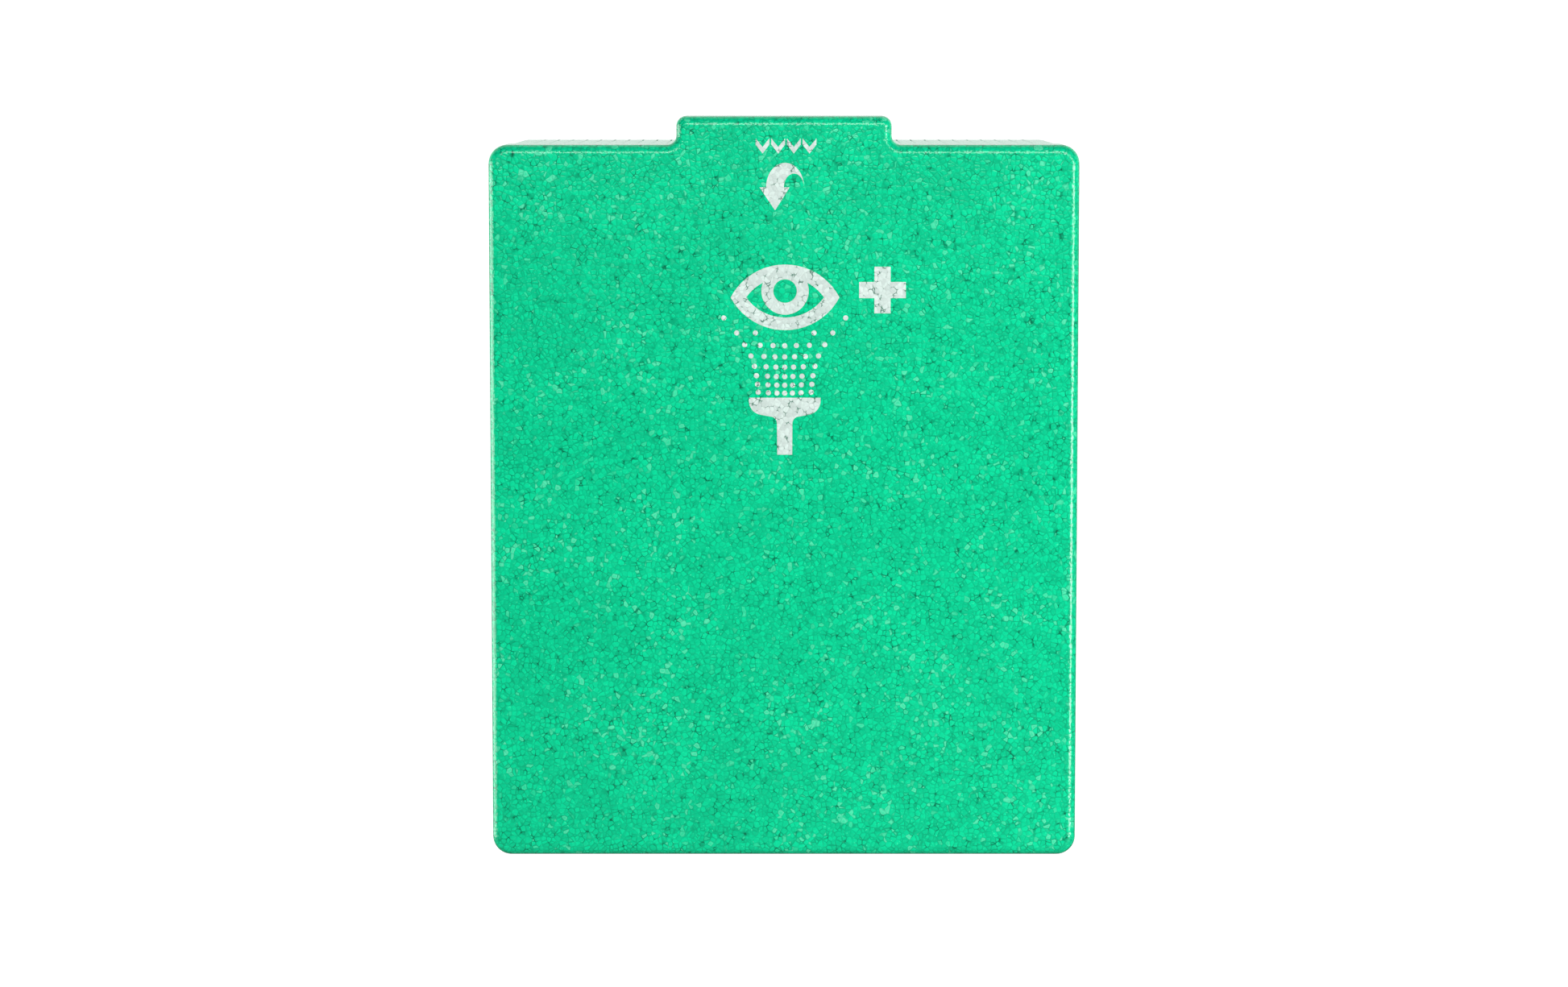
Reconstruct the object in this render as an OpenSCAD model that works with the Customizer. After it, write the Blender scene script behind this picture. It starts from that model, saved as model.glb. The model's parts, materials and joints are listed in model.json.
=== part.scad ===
// Insulated, heated wall cabinet for two eyewash bottles, moulded in bead foam.
// The front cover tilts down on two hinges at the lower edge, by a pull tab at the top.
// Frame: X to the right, Y from the front towards the wall, Z up. The origin is the middle of the
// underside, so the cabinet stands on z = 0 and its wall face is at +Y.

/* [Cabinet] */
// Outer width
cabinet_w = 250; // [244:1:280]
// Outer height without the pull tab
cabinet_h = 304; // [300:1:330]
// Outer depth, front face to wall face
cabinet_d = 150; // [150:1:170]
// Thickness of the front cover
cover_d = 30; // [26:1:34]
// Radius of the outline's corners
corner_r = 8; // [5:0.5:12]
// How far the body's outline sits inside the cover's
body_step = 0.6; // [0.2:0.1:1.5]

/* [Pull tab] */
// Width of the pull tab
tab_w = 91; // [70:1:110]
// Height of the pull tab above the cover
tab_h = 12; // [8:0.5:20]
// Radius of the tab's corners
tab_r = 4; // [2:0.5:5]

/* [Bottles] */
// Radius of a bottle
bottle_r = 37; // [34:0.5:37.5]
// Distance between the two bottles' axes
bottle_spacing = 94; // [92:1:98]
// Thickness of foam under the bottles
floor_t = 28; // [26:1:30]
// How far a bottle is lifted to clear the retaining lip
lift = 12; // [6:1:14]

/* [Hinges] */
// Distance of each hinge from the middle
hinge_x = 75; // [60:1:90]
// Width of a hinge
hinge_w = 40; // [30:1:50]
// Radius of the hinge pin
hinge_pin_r = 1.6; // [1.2:0.1:2]

/* [Wall fixing] */
// Height of the lower pair of wall holes
hole_low_z = 45; // [45:1:50]
// Height of the upper pair of wall holes
hole_high_z = 245; // [230:1:250]
// Radius of a wall hole, for a 6 mm screw
hole_r = 3.25; // [2.5:0.25:4]

/* [Hidden] */
$fn = 96;
eps = 0.01;
SIDES = [["left", -1], ["right", 1]];

// Planes and heights of the cabinet
front_y = -cabinet_d / 2;
part_y = front_y + cover_d;
back_y = cabinet_d / 2;
body_w = cabinet_w - 2 * body_step;
body_h = cabinet_h - body_step;

// Bottles: heights are above the pocket's floor
bottle_wall = 1.2;
shoulder_z = 132;
shoulder_r = 24;
neck_r = 16;
neck_z = 178;
flange_z = 184;
cup_seat_r = 31;
cup_rim_z = 219;
cap_r = 32.5;
cap_top_z = 228;

// Bottle pockets, lined at the back by a heating mat and a metal spreader
pocket_r = bottle_r + 4;
pocket_y = back_y - 30 - pocket_r;
pocket_h = cap_top_z + lift + 4;
lip_t = 7;
lip_h = 10;
mat_t = 1.2;
spreader_t = 1;
mat_z = 66;
mat_h = 112;
spreader_z = 62;
spreader_h = 120;
mat_pad = [16, 2.4, 12];
lead_z = 110;
thermostat_r = 8;
thermostat_t = 6;
thermostat_z = 145;

// Tongue on the body's rim and its groove in the cover
tongue_inset = 9;
tongue_w = 6;
tongue_h = 7;
tongue_gap = 0.5;
tongue_foot_z = 26;

// Recess in the back of the cover, and the instruction card in it
recess_w = cabinet_w - 82;
recess_z = 32;
recess_h = cabinet_h - 2 * recess_z;
recess_d = 8;
recess_r = 6;
card_w = 140;
card_h = 200;
card_t = 0.8;
card_z = recess_z + (recess_h - card_h) / 2;
rivet_inset = 8;

// Hinges under the parting line
hinge_z = 4.4;
barrel_r = 4.1;
leaf_t = 2.2;
leaf_z = hinge_z - barrel_r;
body_leaf_l = 24;
cover_leaf_l = 20;
leaf_relief = 8;
knuckles = 5;
knuckle_gap = 0.3;
hinge_run = 0.06;
hinge_relief_r = 9.2;
edge_relief_r = 5.4;
leaf_screw_x = 0.3 * hinge_w;
leaf_screw_y = [15, -13];

// Wall fixing: flanged sleeves through the back wall, and the rear plate
sleeve_r = 6;
flange_r = 12;
flange_t = 3;
seat_y = back_y - 23;
plate_t = 3;
plate_r = 12;
plate_z = 20;
plate_w = cabinet_w - 50;
plate_h = cabinet_h - 2 * plate_z;
plate_screw_x = plate_w / 2 - plate_r;
plate_screw_z = [plate_z + 14, plate_z + plate_h / 2, plate_z + plate_h - 14];

// Controller behind the middle wall
case_w = 44;
case_h = 76;
case_z = 92;
case_d = 20.5;
case_y = back_y - plate_t - 0.5 - case_d;
case_t = 1.8;
case_gap = 2;
lead_y = case_y + 13;
supply_y = case_y + 11;
board_y = case_y + 8;
board_t = 1.6;

// Power inlet in a recess in the underside
inlet_w = 48;
inlet_l = 26;
inlet_d = 12;
inlet_plate_t = 2.5;
inlet_plate_z = inlet_d - inlet_plate_t;
inlet_y = back_y - plate_t - inlet_l;
lamp_x = 15;

// Points of a circular arc about [x, y]
function arc(x, y, r, from, to, steps = 12) =
    [for (i = [0 : steps]) let (a = from + (to - from) * i / steps) [x + r * cos(a), y + r * sin(a)]];

// Outline of a plate that stands on y = 0, with round corners
function plate_points(w, h, r) = concat(
    arc(w / 2 - r, r, r, -90, 0), arc(w / 2 - r, h - r, r, 0, 90),
    arc(-w / 2 + r, h - r, r, 90, 180), arc(-w / 2 + r, r, r, 180, 270));

// Extrudes an outline in X and Z from y0 to y1
module slab(y0, y1) {
    translate([0, y1, 0]) rotate([90, 0, 0]) linear_extrude(y1 - y0) children();
}

module plate(w, h, r, y0, y1, z = 0) {
    translate([0, 0, z]) slab(y0, y1) polygon(plate_points(w, h, r));
}

module block(x0, x1, y0, y1, z0, z1) {
    translate([x0, y0, z0]) cube([x1 - x0, y1 - y0, z1 - z0]);
}

// Cylinder along Y from y0 to y1
module rod_y(x, z, r, y0, y1) {
    translate([x, y1, z]) rotate([90, 0, 0]) cylinder(r = r, h = y1 - y0);
}

// Cylinder along X from x0 to x1
module rod_x(y, z, r, x0, x1) {
    translate([x0, y, z]) rotate([0, 90, 0]) cylinder(r = r, h = x1 - x0);
}

module tube(outer_r, inner_r, z0, z1) {
    translate([0, 0, z0]) difference() {
        cylinder(r = outer_r, h = z1 - z0);
        translate([0, 0, -1]) cylinder(r = inner_r, h = z1 - z0 + 2);
    }
}

// Half tube on the wall side of a pocket
module half_liner(outer_r, t, z, h) {
    translate([0, 0, z]) rotate_extrude(angle = 180) translate([outer_r - t, 0]) square([t, h]);
}

// Flat-headed screw for foam, pointing up from its head at z = 0
module foam_screw(head_r, head_t, shank_r, length) {
    cylinder(r = head_r, h = head_t);
    cylinder(r = shank_r, h = length);
}

// ---- Body ----

// Band that follows the outline at an inset, open at the bottom
module rim_band(inset, w, foot_z) {
    difference() {
        polygon(plate_points(cabinet_w - 2 * inset, cabinet_h - inset, corner_r));
        polygon(plate_points(cabinet_w - 2 * inset - 2 * w, cabinet_h - inset - w, corner_r / 2));
        translate([-cabinet_w, -cabinet_h]) square([2 * cabinet_w, cabinet_h + foot_z]);
    }
}

// Space for one bottle, open to the front above the retaining lip
module bottle_pocket() {
    translate([0, pocket_y, floor_t]) cylinder(r = pocket_r, h = pocket_h);
    block(-pocket_r, pocket_r, part_y + lip_t, pocket_y, floor_t, floor_t + pocket_h);
    block(-pocket_r, pocket_r, part_y - 1, part_y + lip_t + 1, floor_t + lip_h, floor_t + pocket_h);
}

// Places children at the four wall holes, in X and Z
module at_wall_holes() {
    for (x = [-1, 1], z = [hole_low_z, hole_high_z]) translate([x * bottle_spacing / 2, 0, z]) children();
}

module at_plate_screws() {
    for (x = [-1, 1], z = plate_screw_z)
        translate([x * plate_screw_x, back_y, z]) rotate([90, 0, 0]) children();
}

// Wiring spaces behind the middle wall, reached from the rear
module wiring_space() {
    block(-case_w / 2 - case_gap, case_w / 2 + case_gap, case_y - 1, back_y - plate_t + eps,
        case_z - case_gap, case_z + case_h + case_gap);
    block(-5, 5, supply_y - 5, back_y - plate_t + eps, inlet_d, case_z);
    for (side = [-1, 1]) {
        block(side > 0 ? 0 : -bottle_spacing / 2 - 4, side > 0 ? bottle_spacing / 2 + 4 : 0,
            lead_y - 4, back_y - plate_t + eps, lead_z - 4, lead_z + 4);
        rod_y(side * bottle_spacing / 2, lead_z, 2.5, pocket_y + pocket_r, lead_y + 2);
        translate([side * bottle_spacing / 2, 0, lead_z]) block(
            -mat_pad[0] / 2 - 0.5, mat_pad[0] / 2 + 0.5, pocket_y + 30, pocket_y + pocket_r + mat_pad[1] + 0.3,
            -mat_pad[2] / 2 - 0.5, mat_pad[2] / 2 + 0.5);
    }
    rod_y(-bottle_spacing / 2, thermostat_z, thermostat_r + 0.5,
        pocket_y + 30, pocket_y + pocket_r + thermostat_t + 1);
}

module at_inlet_screws() {
    for (x = [-1, 1]) translate([x * (inlet_w / 2 - 4), inlet_y + 4, inlet_plate_z]) children();
}

// Recess for the power inlet, open underneath
module inlet_space() {
    block(-inlet_w / 2, inlet_w / 2, inlet_y, inlet_y + inlet_l, -1, inlet_d);
    block(-11, lamp_x + 4, inlet_y + 6, back_y - plate_t + eps, inlet_d - 1, floor_t - 2);
    at_inlet_screws() cylinder(r = 1.6, h = 15);
}

// Room for the hinges, in the foam on both sides of the parting line
module hinge_space(leaf_l) {
    for (side = [-1, 1]) {
        translate([side * hinge_x, part_y, 0]) {
            rod_x(0, hinge_z, hinge_relief_r, -hinge_w / 2 - 2, hinge_w / 2 + 2);
            translate([-hinge_w / 2 - 0.4, leaf_l > 0 ? 0 : leaf_l - 0.4, -1])
                cube([hinge_w + 0.8, abs(leaf_l) + 0.4, leaf_z + leaf_t + 1.2]);
        }
    }
}

// Places children at a leaf's screws, at a distance from the parting line
module at_leaf_screws(distance) {
    for (side = [-1, 1], x = [-leaf_screw_x, leaf_screw_x])
        translate([side * hinge_x + x, part_y + distance, leaf_z]) children();
}

module body_shell() {
    color([0.0, 0.62, 0.40]) difference() {
        union() {
            plate(body_w, body_h, corner_r, part_y, back_y);
            slab(part_y - tongue_h, part_y + 1) rim_band(tongue_inset, tongue_w, tongue_foot_z);
        }
        for (side = [-1, 1]) translate([side * bottle_spacing / 2, 0, 0]) bottle_pocket();
        plate(plate_w + 0.6, plate_h + 0.6, plate_r + 0.3, back_y - plate_t, back_y + 1, plate_z - 0.3);
        at_wall_holes() {
            rod_y(0, 0, flange_r + 1, pocket_y + 30, seat_y);
            rod_y(0, 0, sleeve_r + 0.1, seat_y - 1, back_y);
        }
        wiring_space();
        inlet_space();
        hinge_space(body_leaf_l);
        // Cove that the cover's lower rear edge turns in
        rod_x(part_y, hinge_z, edge_relief_r, -cabinet_w, cabinet_w);
        intersection() {
            rod_x(part_y, hinge_z, hinge_relief_r, -cabinet_w, cabinet_w);
            block(-cabinet_w, cabinet_w, part_y - 1, part_y + 20, -10, hinge_z);
        }
        at_leaf_screws(leaf_screw_y[0]) cylinder(r = 1.9, h = 18);
        at_plate_screws() cylinder(r = 2.3, h = 24);
    }
}

module rear_plate() {
    color([0.12, 0.13, 0.13]) difference() {
        plate(plate_w, plate_h, plate_r, back_y - plate_t, back_y, plate_z);
        at_wall_holes() rod_y(0, 0, sleeve_r + 0.1, back_y - 10, back_y + 1);
        at_plate_screws() {
            translate([0, 0, -1]) cylinder(r = 4.7, h = 2.6);
            cylinder(r = 2.4, h = 10);
        }
    }
}

module plate_screws() {
    color([0.75, 0.75, 0.76]) at_plate_screws() foam_screw(4.5, 1.5, 2.2, 20);
}

module mounting_sleeves() {
    color([0.15, 0.15, 0.16]) at_wall_holes() difference() {
        union() {
            rod_y(0, 0, flange_r, seat_y - flange_t, seat_y);
            rod_y(0, 0, sleeve_r, seat_y - 1, back_y);
        }
        rod_y(0, 0, hole_r, seat_y - flange_t - 1, back_y + 1);
    }
}

// ---- Cover ----

function cover_points() =
    let (x = cabinet_w / 2, h = cabinet_h, r = corner_r, t = tab_w / 2, top = cabinet_h + tab_h)
    concat(
        arc(x - r, r, r, -90, 0), arc(x - r, h - r, r, 0, 90),
        arc(t + tab_r, h + tab_r, tab_r, 270, 180, 8), arc(t - tab_r, top - tab_r, tab_r, 0, 90, 8),
        arc(-t + tab_r, top - tab_r, tab_r, 90, 180, 8), arc(-t - tab_r, h + tab_r, tab_r, 0, -90, 8),
        arc(-x + r, h - r, r, 90, 180), arc(-x + r, r, r, 180, 270));

// Places children at the card's rivets
module at_rivets() {
    for (x = [-1, 1], z = [card_z + rivet_inset, card_z + card_h - rivet_inset])
        translate([x * (card_w / 2 - rivet_inset), part_y - recess_d + card_t, z]) rotate([90, 0, 0]) children();
}

module front_cover() {
    color([0.0, 0.72, 0.46]) difference() {
        slab(front_y, part_y) polygon(cover_points());
        plate(recess_w, recess_h, recess_r, part_y - recess_d, part_y + 1, recess_z);
        slab(part_y - tongue_h - 1, part_y + 1)
            rim_band(tongue_inset - tongue_gap, tongue_w + 2 * tongue_gap, tongue_foot_z - 1);
        hinge_space(-cover_leaf_l);
        at_leaf_screws(leaf_screw_y[1]) cylinder(r = 1.9, h = 18);
        at_rivets() cylinder(r = 2.1, h = 13);
    }
}

module instruction_card() {
    color([0.93, 0.95, 0.94]) difference() {
        plate(card_w, card_h, 4, part_y - recess_d, part_y - recess_d + card_t, card_z);
        at_rivets() translate([0, 0, -1]) cylinder(r = 2.2, h = 4);
    }
}

module card_rivets() {
    color([0.85, 0.86, 0.86]) at_rivets() {
        translate([0, 0, -1.2]) cylinder(r = 4, h = 1.2);
        cylinder(r = 2, h = 12);
    }
}

// ---- Hinges ----

module at_side(s) { translate([s * hinge_x, part_y, 0]) children(); }

// One leaf: toward is 1 for the body side and -1 for the cover side; first picks its knuckles
module hinge_leaf(toward, length, first) {
    pitch = hinge_w / knuckles;
    screw_y = leaf_screw_y[toward > 0 ? 0 : 1];
    difference() {
        union() {
            translate([-hinge_w / 2, toward > 0 ? leaf_relief : -length, leaf_z])
                cube([hinge_w, length - leaf_relief, leaf_t]);
            for (i = [first : 2 : knuckles - 1]) {
                x = -hinge_w / 2 + i * pitch + knuckle_gap / 2;
                rod_x(0, hinge_z, barrel_r, x, x + pitch - knuckle_gap);
                translate([x, toward > 0 ? 0 : -leaf_relief - 1, leaf_z])
                    cube([pitch - knuckle_gap, leaf_relief + 1, leaf_t]);
            }
        }
        rod_x(0, hinge_z, hinge_pin_r + hinge_run, -hinge_w, hinge_w);
        for (x = [-leaf_screw_x, leaf_screw_x]) translate([x, screw_y, leaf_z - 1]) {
            cylinder(r = 3.6, h = 2.5);
            cylinder(r = 2, h = 10);
        }
    }
}

module hinge_body_leaf(s) { color([0.16, 0.17, 0.17]) at_side(s) hinge_leaf(1, body_leaf_l, 0); }

module hinge_cover_leaf(s) { color([0.16, 0.17, 0.17]) at_side(s) hinge_leaf(-1, cover_leaf_l, 1); }

module hinge_pin(s) {
    head_t = 1.2;
    color([0.78, 0.78, 0.8]) at_side(s) {
        rod_x(0, hinge_z, hinge_pin_r, -hinge_w / 2 - head_t, hinge_w / 2 + head_t);
        for (x = [-hinge_w / 2 - head_t, hinge_w / 2]) rod_x(0, hinge_z, 2.8, x, x + head_t);
    }
}

module leaf_screws(y) { color([0.75, 0.75, 0.76]) at_leaf_screws(y) foam_screw(3.4, 1.4, 1.8, 17); }

module body_leaf_screws() { leaf_screws(leaf_screw_y[0]); }

module cover_leaf_screws() { leaf_screws(leaf_screw_y[1]); }

// ---- Heating ----

module at_bottle(s) { translate([s * bottle_spacing / 2, pocket_y, 0]) children(); }

module heating_mat(s) {
    color([0.72, 0.25, 0.08]) at_bottle(s) {
        half_liner(pocket_r - 0.05, mat_t - 0.1, mat_z, mat_h);
        translate([-mat_pad[0] / 2, pocket_r - 2, lead_z - mat_pad[2] / 2]) difference() {
            cube([mat_pad[0], mat_pad[1] + 2, mat_pad[2]]);
            translate([mat_pad[0] / 2, 2 - pocket_r, -1]) cylinder(r = pocket_r - mat_t / 2, h = mat_pad[2] + 2);
        }
    }
}

module heat_spreader(s) {
    color([0.8, 0.81, 0.82]) at_bottle(s) half_liner(pocket_r - mat_t, spreader_t, spreader_z, spreader_h);
}

module thermostat() {
    back = pocket_y + pocket_r;
    color([0.2, 0.2, 0.2]) translate([-bottle_spacing / 2, 0, thermostat_z]) {
        rod_y(0, 0, thermostat_r, back + 0.1, back + 3.5);
        rod_y(0, 0, thermostat_r - 2.5, back + 3, back + thermostat_t);
        for (x = [-1, 1]) block(x * 3 - 0.4, x * 3 + 0.4, back + 5, back + thermostat_t + 0.8, -2, 2);
    }
}

// ---- Controller ----

module at_case_screws() {
    for (x = [-1, 1], z = [4.5, case_h - 4.5])
        translate([x * (case_w / 2 - 4.5), case_y + case_d, case_z + z]) rotate([90, 0, 0]) children();
}

module controller_case() {
    color([0.13, 0.13, 0.14]) difference() {
        union() {
            difference() {
                plate(case_w, case_h, 3, case_y, case_y + case_d - case_t, case_z);
                plate(case_w - 2 * case_t, case_h - 2 * case_t, 2, case_y + case_t, case_y + case_d, case_z + case_t);
            }
            at_case_screws() translate([0, 0, case_t]) cylinder(r = 3.5, h = case_d - 2 * case_t);
        }
        at_case_screws() cylinder(r = 1.3, h = case_d - 2 * case_t);
        translate([0, supply_y, case_z - 1]) cylinder(r = 2.8, h = 5);
        rod_x(lead_y, lead_z, 1.8, -case_w, case_w);
    }
}

module controller_lid() {
    color([0.13, 0.13, 0.14]) difference() {
        plate(case_w, case_h, 3, case_y + case_d - case_t, case_y + case_d, case_z);
        at_case_screws() translate([0, 0, -1]) cylinder(r = 1.7, h = 4);
    }
}

module controller_screws() {
    color([0.7, 0.7, 0.72]) at_case_screws() {
        translate([0, 0, -0.45]) cylinder(r = 2.8, h = 0.45);
        cylinder(r = 1.25, h = 9);
    }
}

// Circuit board with a relay, two electrolytic capacitors, a fuse and a terminal block
module circuit_board() {
    inset = case_t + 0.7;
    color([0.05, 0.35, 0.16]) difference() {
        plate(case_w - 2 * inset, case_h - 2 * inset, 1, board_y - board_t, board_y, case_z + inset);
        at_case_screws() cylinder(r = 3.9, h = case_d);
    }
    color([0.1, 0.3, 0.6]) block(-12, 4, board_y - eps, board_y + 7, case_z + 42, case_z + 56);
    color([0.15, 0.15, 0.17]) for (z = [22, 31]) rod_y(8, case_z + z, 3.5, board_y - eps, board_y + 8);
    color([0.8, 0.75, 0.6]) block(-14, -10, board_y - eps, board_y + 4, case_z + 32, case_z + 40);
    color([0.1, 0.5, 0.2]) block(-8, 8, board_y - eps, board_y + 1.5, case_z + 8, case_z + 16);
}

module supply_lead() {
    color([0.08, 0.08, 0.08]) translate([0, supply_y, floor_t - 8]) cylinder(r = 2.5, h = case_z - floor_t + 13);
}

module heater_lead(s) {
    bend = 4;
    end_y = pocket_y + pocket_r + mat_pad[1];
    corner_x = bottle_spacing / 2 - bend;
    color([0.75, 0.72, 0.68]) mirror([s < 0 ? 1 : 0, 0, 0]) {
        rod_x(lead_y, lead_z, 1.5, case_w / 2 - case_t - 2, corner_x);
        translate([corner_x, lead_y - bend, lead_z])
            rotate_extrude(angle = 90) translate([bend, 0]) circle(r = 1.5);
        rod_y(bottle_spacing / 2, lead_z, 1.5, end_y, lead_y - bend);
    }
}

// ---- Power inlet ----

module inlet_plate() {
    z = inlet_plate_z;
    color([0.14, 0.14, 0.15]) difference() {
        block(-inlet_w / 2 + 0.3, inlet_w / 2 - 0.3, inlet_y + 0.3, inlet_y + inlet_l - 0.3, z, inlet_d);
        translate([0, supply_y, z - 1]) cylinder(r = 6.1, h = 5);
        translate([lamp_x, supply_y, z - 1]) cylinder(r = 2.6, h = 5);
        at_inlet_screws() translate([0, 0, -1]) cylinder(r = 1.7, h = 5);
    }
}

module inlet_socket() {
    color([0.05, 0.05, 0.05]) translate([0, supply_y, 0]) difference() {
        union() {
            translate([0, 0, 5]) cylinder(r = 7.5, h = inlet_plate_z - 5);
            translate([0, 0, 5]) cylinder(r = 6, h = floor_t - 13);
        }
        translate([0, 0, 4]) tube(4.6, 1.2, 0, 9);
    }
}

module inlet_nut() {
    color([0.72, 0.72, 0.74]) translate([0, supply_y, inlet_d]) difference() {
        cylinder(r = 9, h = 3, $fn = 6);
        translate([0, 0, -1]) cylinder(r = 6.05, h = 5);
    }
}

module inlet_screws() {
    head_t = 1.2;
    color([0.75, 0.75, 0.76]) at_inlet_screws() translate([0, 0, -head_t]) {
        cylinder(r = 3, h = head_t);
        cylinder(r = 1.5, h = 14);
    }
}

module status_lamp() {
    color([0.3, 0.9, 0.35]) translate([lamp_x, supply_y, inlet_plate_z - 1]) {
        cylinder(r = 3.2, h = 1);
        cylinder(r = 2.5, h = 9);
        intersection() {
            sphere(r = 2.5);
            translate([0, 0, -3]) cylinder(r = 3, h = 3.5);
        }
    }
}

// ---- Bottles ----

module at_floor(s) { at_bottle(s) translate([0, 0, floor_t]) children(); }

// Half profile of a bottle, shrunk by a wall thickness
function bottle_points(wall, top) =
    let (r = bottle_r - wall, foot = 6 - wall)
    concat(
        [[0, wall]],
        arc(r - foot, wall + foot, foot, -90, 0, 6),
        arc(bottle_r - shoulder_r, shoulder_z, shoulder_r - wall, 0, 68, 12),
        [[neck_r - wall, 158], [neck_r - wall, top], [0, top]]);

module bottle(s) {
    color([0.92, 0.94, 0.93]) at_floor(s) difference() {
        rotate_extrude() polygon(bottle_points(0, neck_z));
        rotate_extrude() polygon(bottle_points(bottle_wall, neck_z + 1));
    }
}

module saline_fill(s) {
    color([0.85, 0.93, 0.97]) at_floor(s)
        translate([0, 0, bottle_wall + 0.2]) cylinder(r = bottle_r - bottle_wall - 0.2 - 4.8, h = 5);
    color([0.85, 0.93, 0.97]) at_floor(s)
        translate([0, 0, bottle_wall + 5]) cylinder(r = bottle_r - bottle_wall - 0.2, h = 122);
}

module bottle_label(s) {
    wrap = 330;
    color([0.95, 0.97, 0.96]) at_floor(s) rotate([0, 0, 90 + (360 - wrap) / 2])
        translate([0, 0, 26]) rotate_extrude(angle = wrap) translate([bottle_r + 0.05, 0]) square([0.25, 88]);
}

// Screw collar, seat for the dust cap, and the cup with its saddle-shaped rim
module eye_cup(s) {
    rim_z = cup_rim_z;
    saddle_r = 45;
    color([0.05, 0.55, 0.3]) at_floor(s) difference() {
        union() {
            translate([0, 0, 162]) cylinder(r = 20.5, h = flange_z - 162 - 2);
            translate([0, 0, flange_z - 2.5]) cylinder(r = cup_seat_r, h = 2.5);
            translate([0, 0, flange_z - 1]) cylinder(r1 = 15, r2 = 29.5, h = rim_z - flange_z + 1);
        }
        translate([0, 0, 161]) cylinder(r = neck_r + 0.1, h = neck_z - 161 + 0.2);
        translate([0, 0, neck_z - 1]) cylinder(r = 8, h = 20);
        translate([0, 0, flange_z + 3]) cylinder(r1 = 13.2, r2 = 28.2, h = rim_z - flange_z - 2.9);
        translate([0, 0, rim_z + saddle_r - 9]) rotate([90, 0, 0]) cylinder(r = saddle_r, h = 100, center = true);
    }
}

// Nozzle disc with one hole in the middle and six round it
module spray_insert(s) {
    color([0.9, 0.92, 0.92]) at_floor(s) translate([0, 0, neck_z + 3]) difference() {
        union() {
            cylinder(r = 7.9, h = 6);
            translate([0, 0, 6]) cylinder(r = 10, h = 2);
        }
        translate([0, 0, -1]) cylinder(r = 6.4, h = 6);
        translate([0, 0, -1]) cylinder(r = 0.8, h = 12);
        for (a = [0 : 60 : 300]) rotate([0, 0, a]) translate([4.4, 0, -1]) cylinder(r = 0.8, h = 12);
    }
}

// Shrunk sleeve that steps out from the cup's flange to the dust cap
module seal_band(s) {
    band_t = 0.35;
    r0 = cup_seat_r + 0.15;
    r1 = cap_r + 0.15;
    z = [flange_z - 3, flange_z + 0.1, flange_z + 6];
    color([0.85, 0.9, 0.88]) at_floor(s) rotate_extrude() polygon([
        [r0, z[0]], [r0 + band_t, z[0]], [r1 + band_t, z[1] - band_t], [r1 + band_t, z[2]],
        [r1, z[2]], [r1, z[1]], [r0, z[1]]]);
}

module dust_cap(s) {
    color([0.05, 0.6, 0.34]) at_floor(s) rotate_extrude() difference() {
        polygon(concat(
            [[0, flange_z + 0.3], [cap_r, flange_z + 0.3]],
            arc(cap_r - 6, cap_top_z - 6, 6, 0, 90, 8), [[0, cap_top_z]]));
        polygon(concat(
            [[-1, flange_z], [cap_r - 1.5, flange_z]],
            arc(cap_r - 6, cap_top_z - 6, 4.4, 0, 90, 8), [[-1, cap_top_z - 1.6]]));
    }
}

body_shell();
front_cover();
instruction_card();
card_rivets();
rear_plate();
plate_screws();
mounting_sleeves();
thermostat();
controller_case();
controller_lid();
controller_screws();
circuit_board();
supply_lead();
inlet_plate();
inlet_socket();
inlet_nut();
inlet_screws();
status_lamp();
body_leaf_screws();
cover_leaf_screws();
for (side = SIDES) {
    hinge_body_leaf(side[1]);
    hinge_cover_leaf(side[1]);
    hinge_pin(side[1]);
    heating_mat(side[1]);
    heat_spreader(side[1]);
    heater_lead(side[1]);
    bottle(side[1]);
    saline_fill(side[1]);
    bottle_label(side[1]);
    eye_cup(side[1]);
    spray_insert(side[1]);
    seal_band(side[1]);
    dust_cap(side[1]);
}
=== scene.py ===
"""Insulated eyewash cabinet in green bead foam, built around its CAD frame. Metres, +Z up."""
import json
import math

import bmesh
import bpy
from mathutils import Matrix, Vector


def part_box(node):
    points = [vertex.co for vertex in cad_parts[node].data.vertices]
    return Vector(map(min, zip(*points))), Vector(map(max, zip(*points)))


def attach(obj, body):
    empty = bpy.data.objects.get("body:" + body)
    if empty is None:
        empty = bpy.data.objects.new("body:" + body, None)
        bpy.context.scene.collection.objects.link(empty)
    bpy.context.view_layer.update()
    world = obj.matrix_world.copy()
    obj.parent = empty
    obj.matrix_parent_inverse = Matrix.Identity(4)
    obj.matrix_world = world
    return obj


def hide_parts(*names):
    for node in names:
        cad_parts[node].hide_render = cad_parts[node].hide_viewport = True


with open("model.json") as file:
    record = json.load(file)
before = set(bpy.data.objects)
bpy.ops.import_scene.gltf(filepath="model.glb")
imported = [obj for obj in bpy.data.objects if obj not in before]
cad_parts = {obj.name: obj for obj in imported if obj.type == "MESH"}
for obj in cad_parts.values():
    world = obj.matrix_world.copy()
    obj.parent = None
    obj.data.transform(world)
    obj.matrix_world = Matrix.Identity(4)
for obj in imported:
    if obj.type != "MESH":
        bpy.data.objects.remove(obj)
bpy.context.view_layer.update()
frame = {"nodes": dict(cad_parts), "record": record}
nodes = frame["nodes"]
SIDES = ("left", "right")
MM = 0.001

cover_lo, cover_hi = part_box("front_cover")
body_lo, body_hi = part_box("body_shell")
card_lo, card_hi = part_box("instruction_card")

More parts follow.
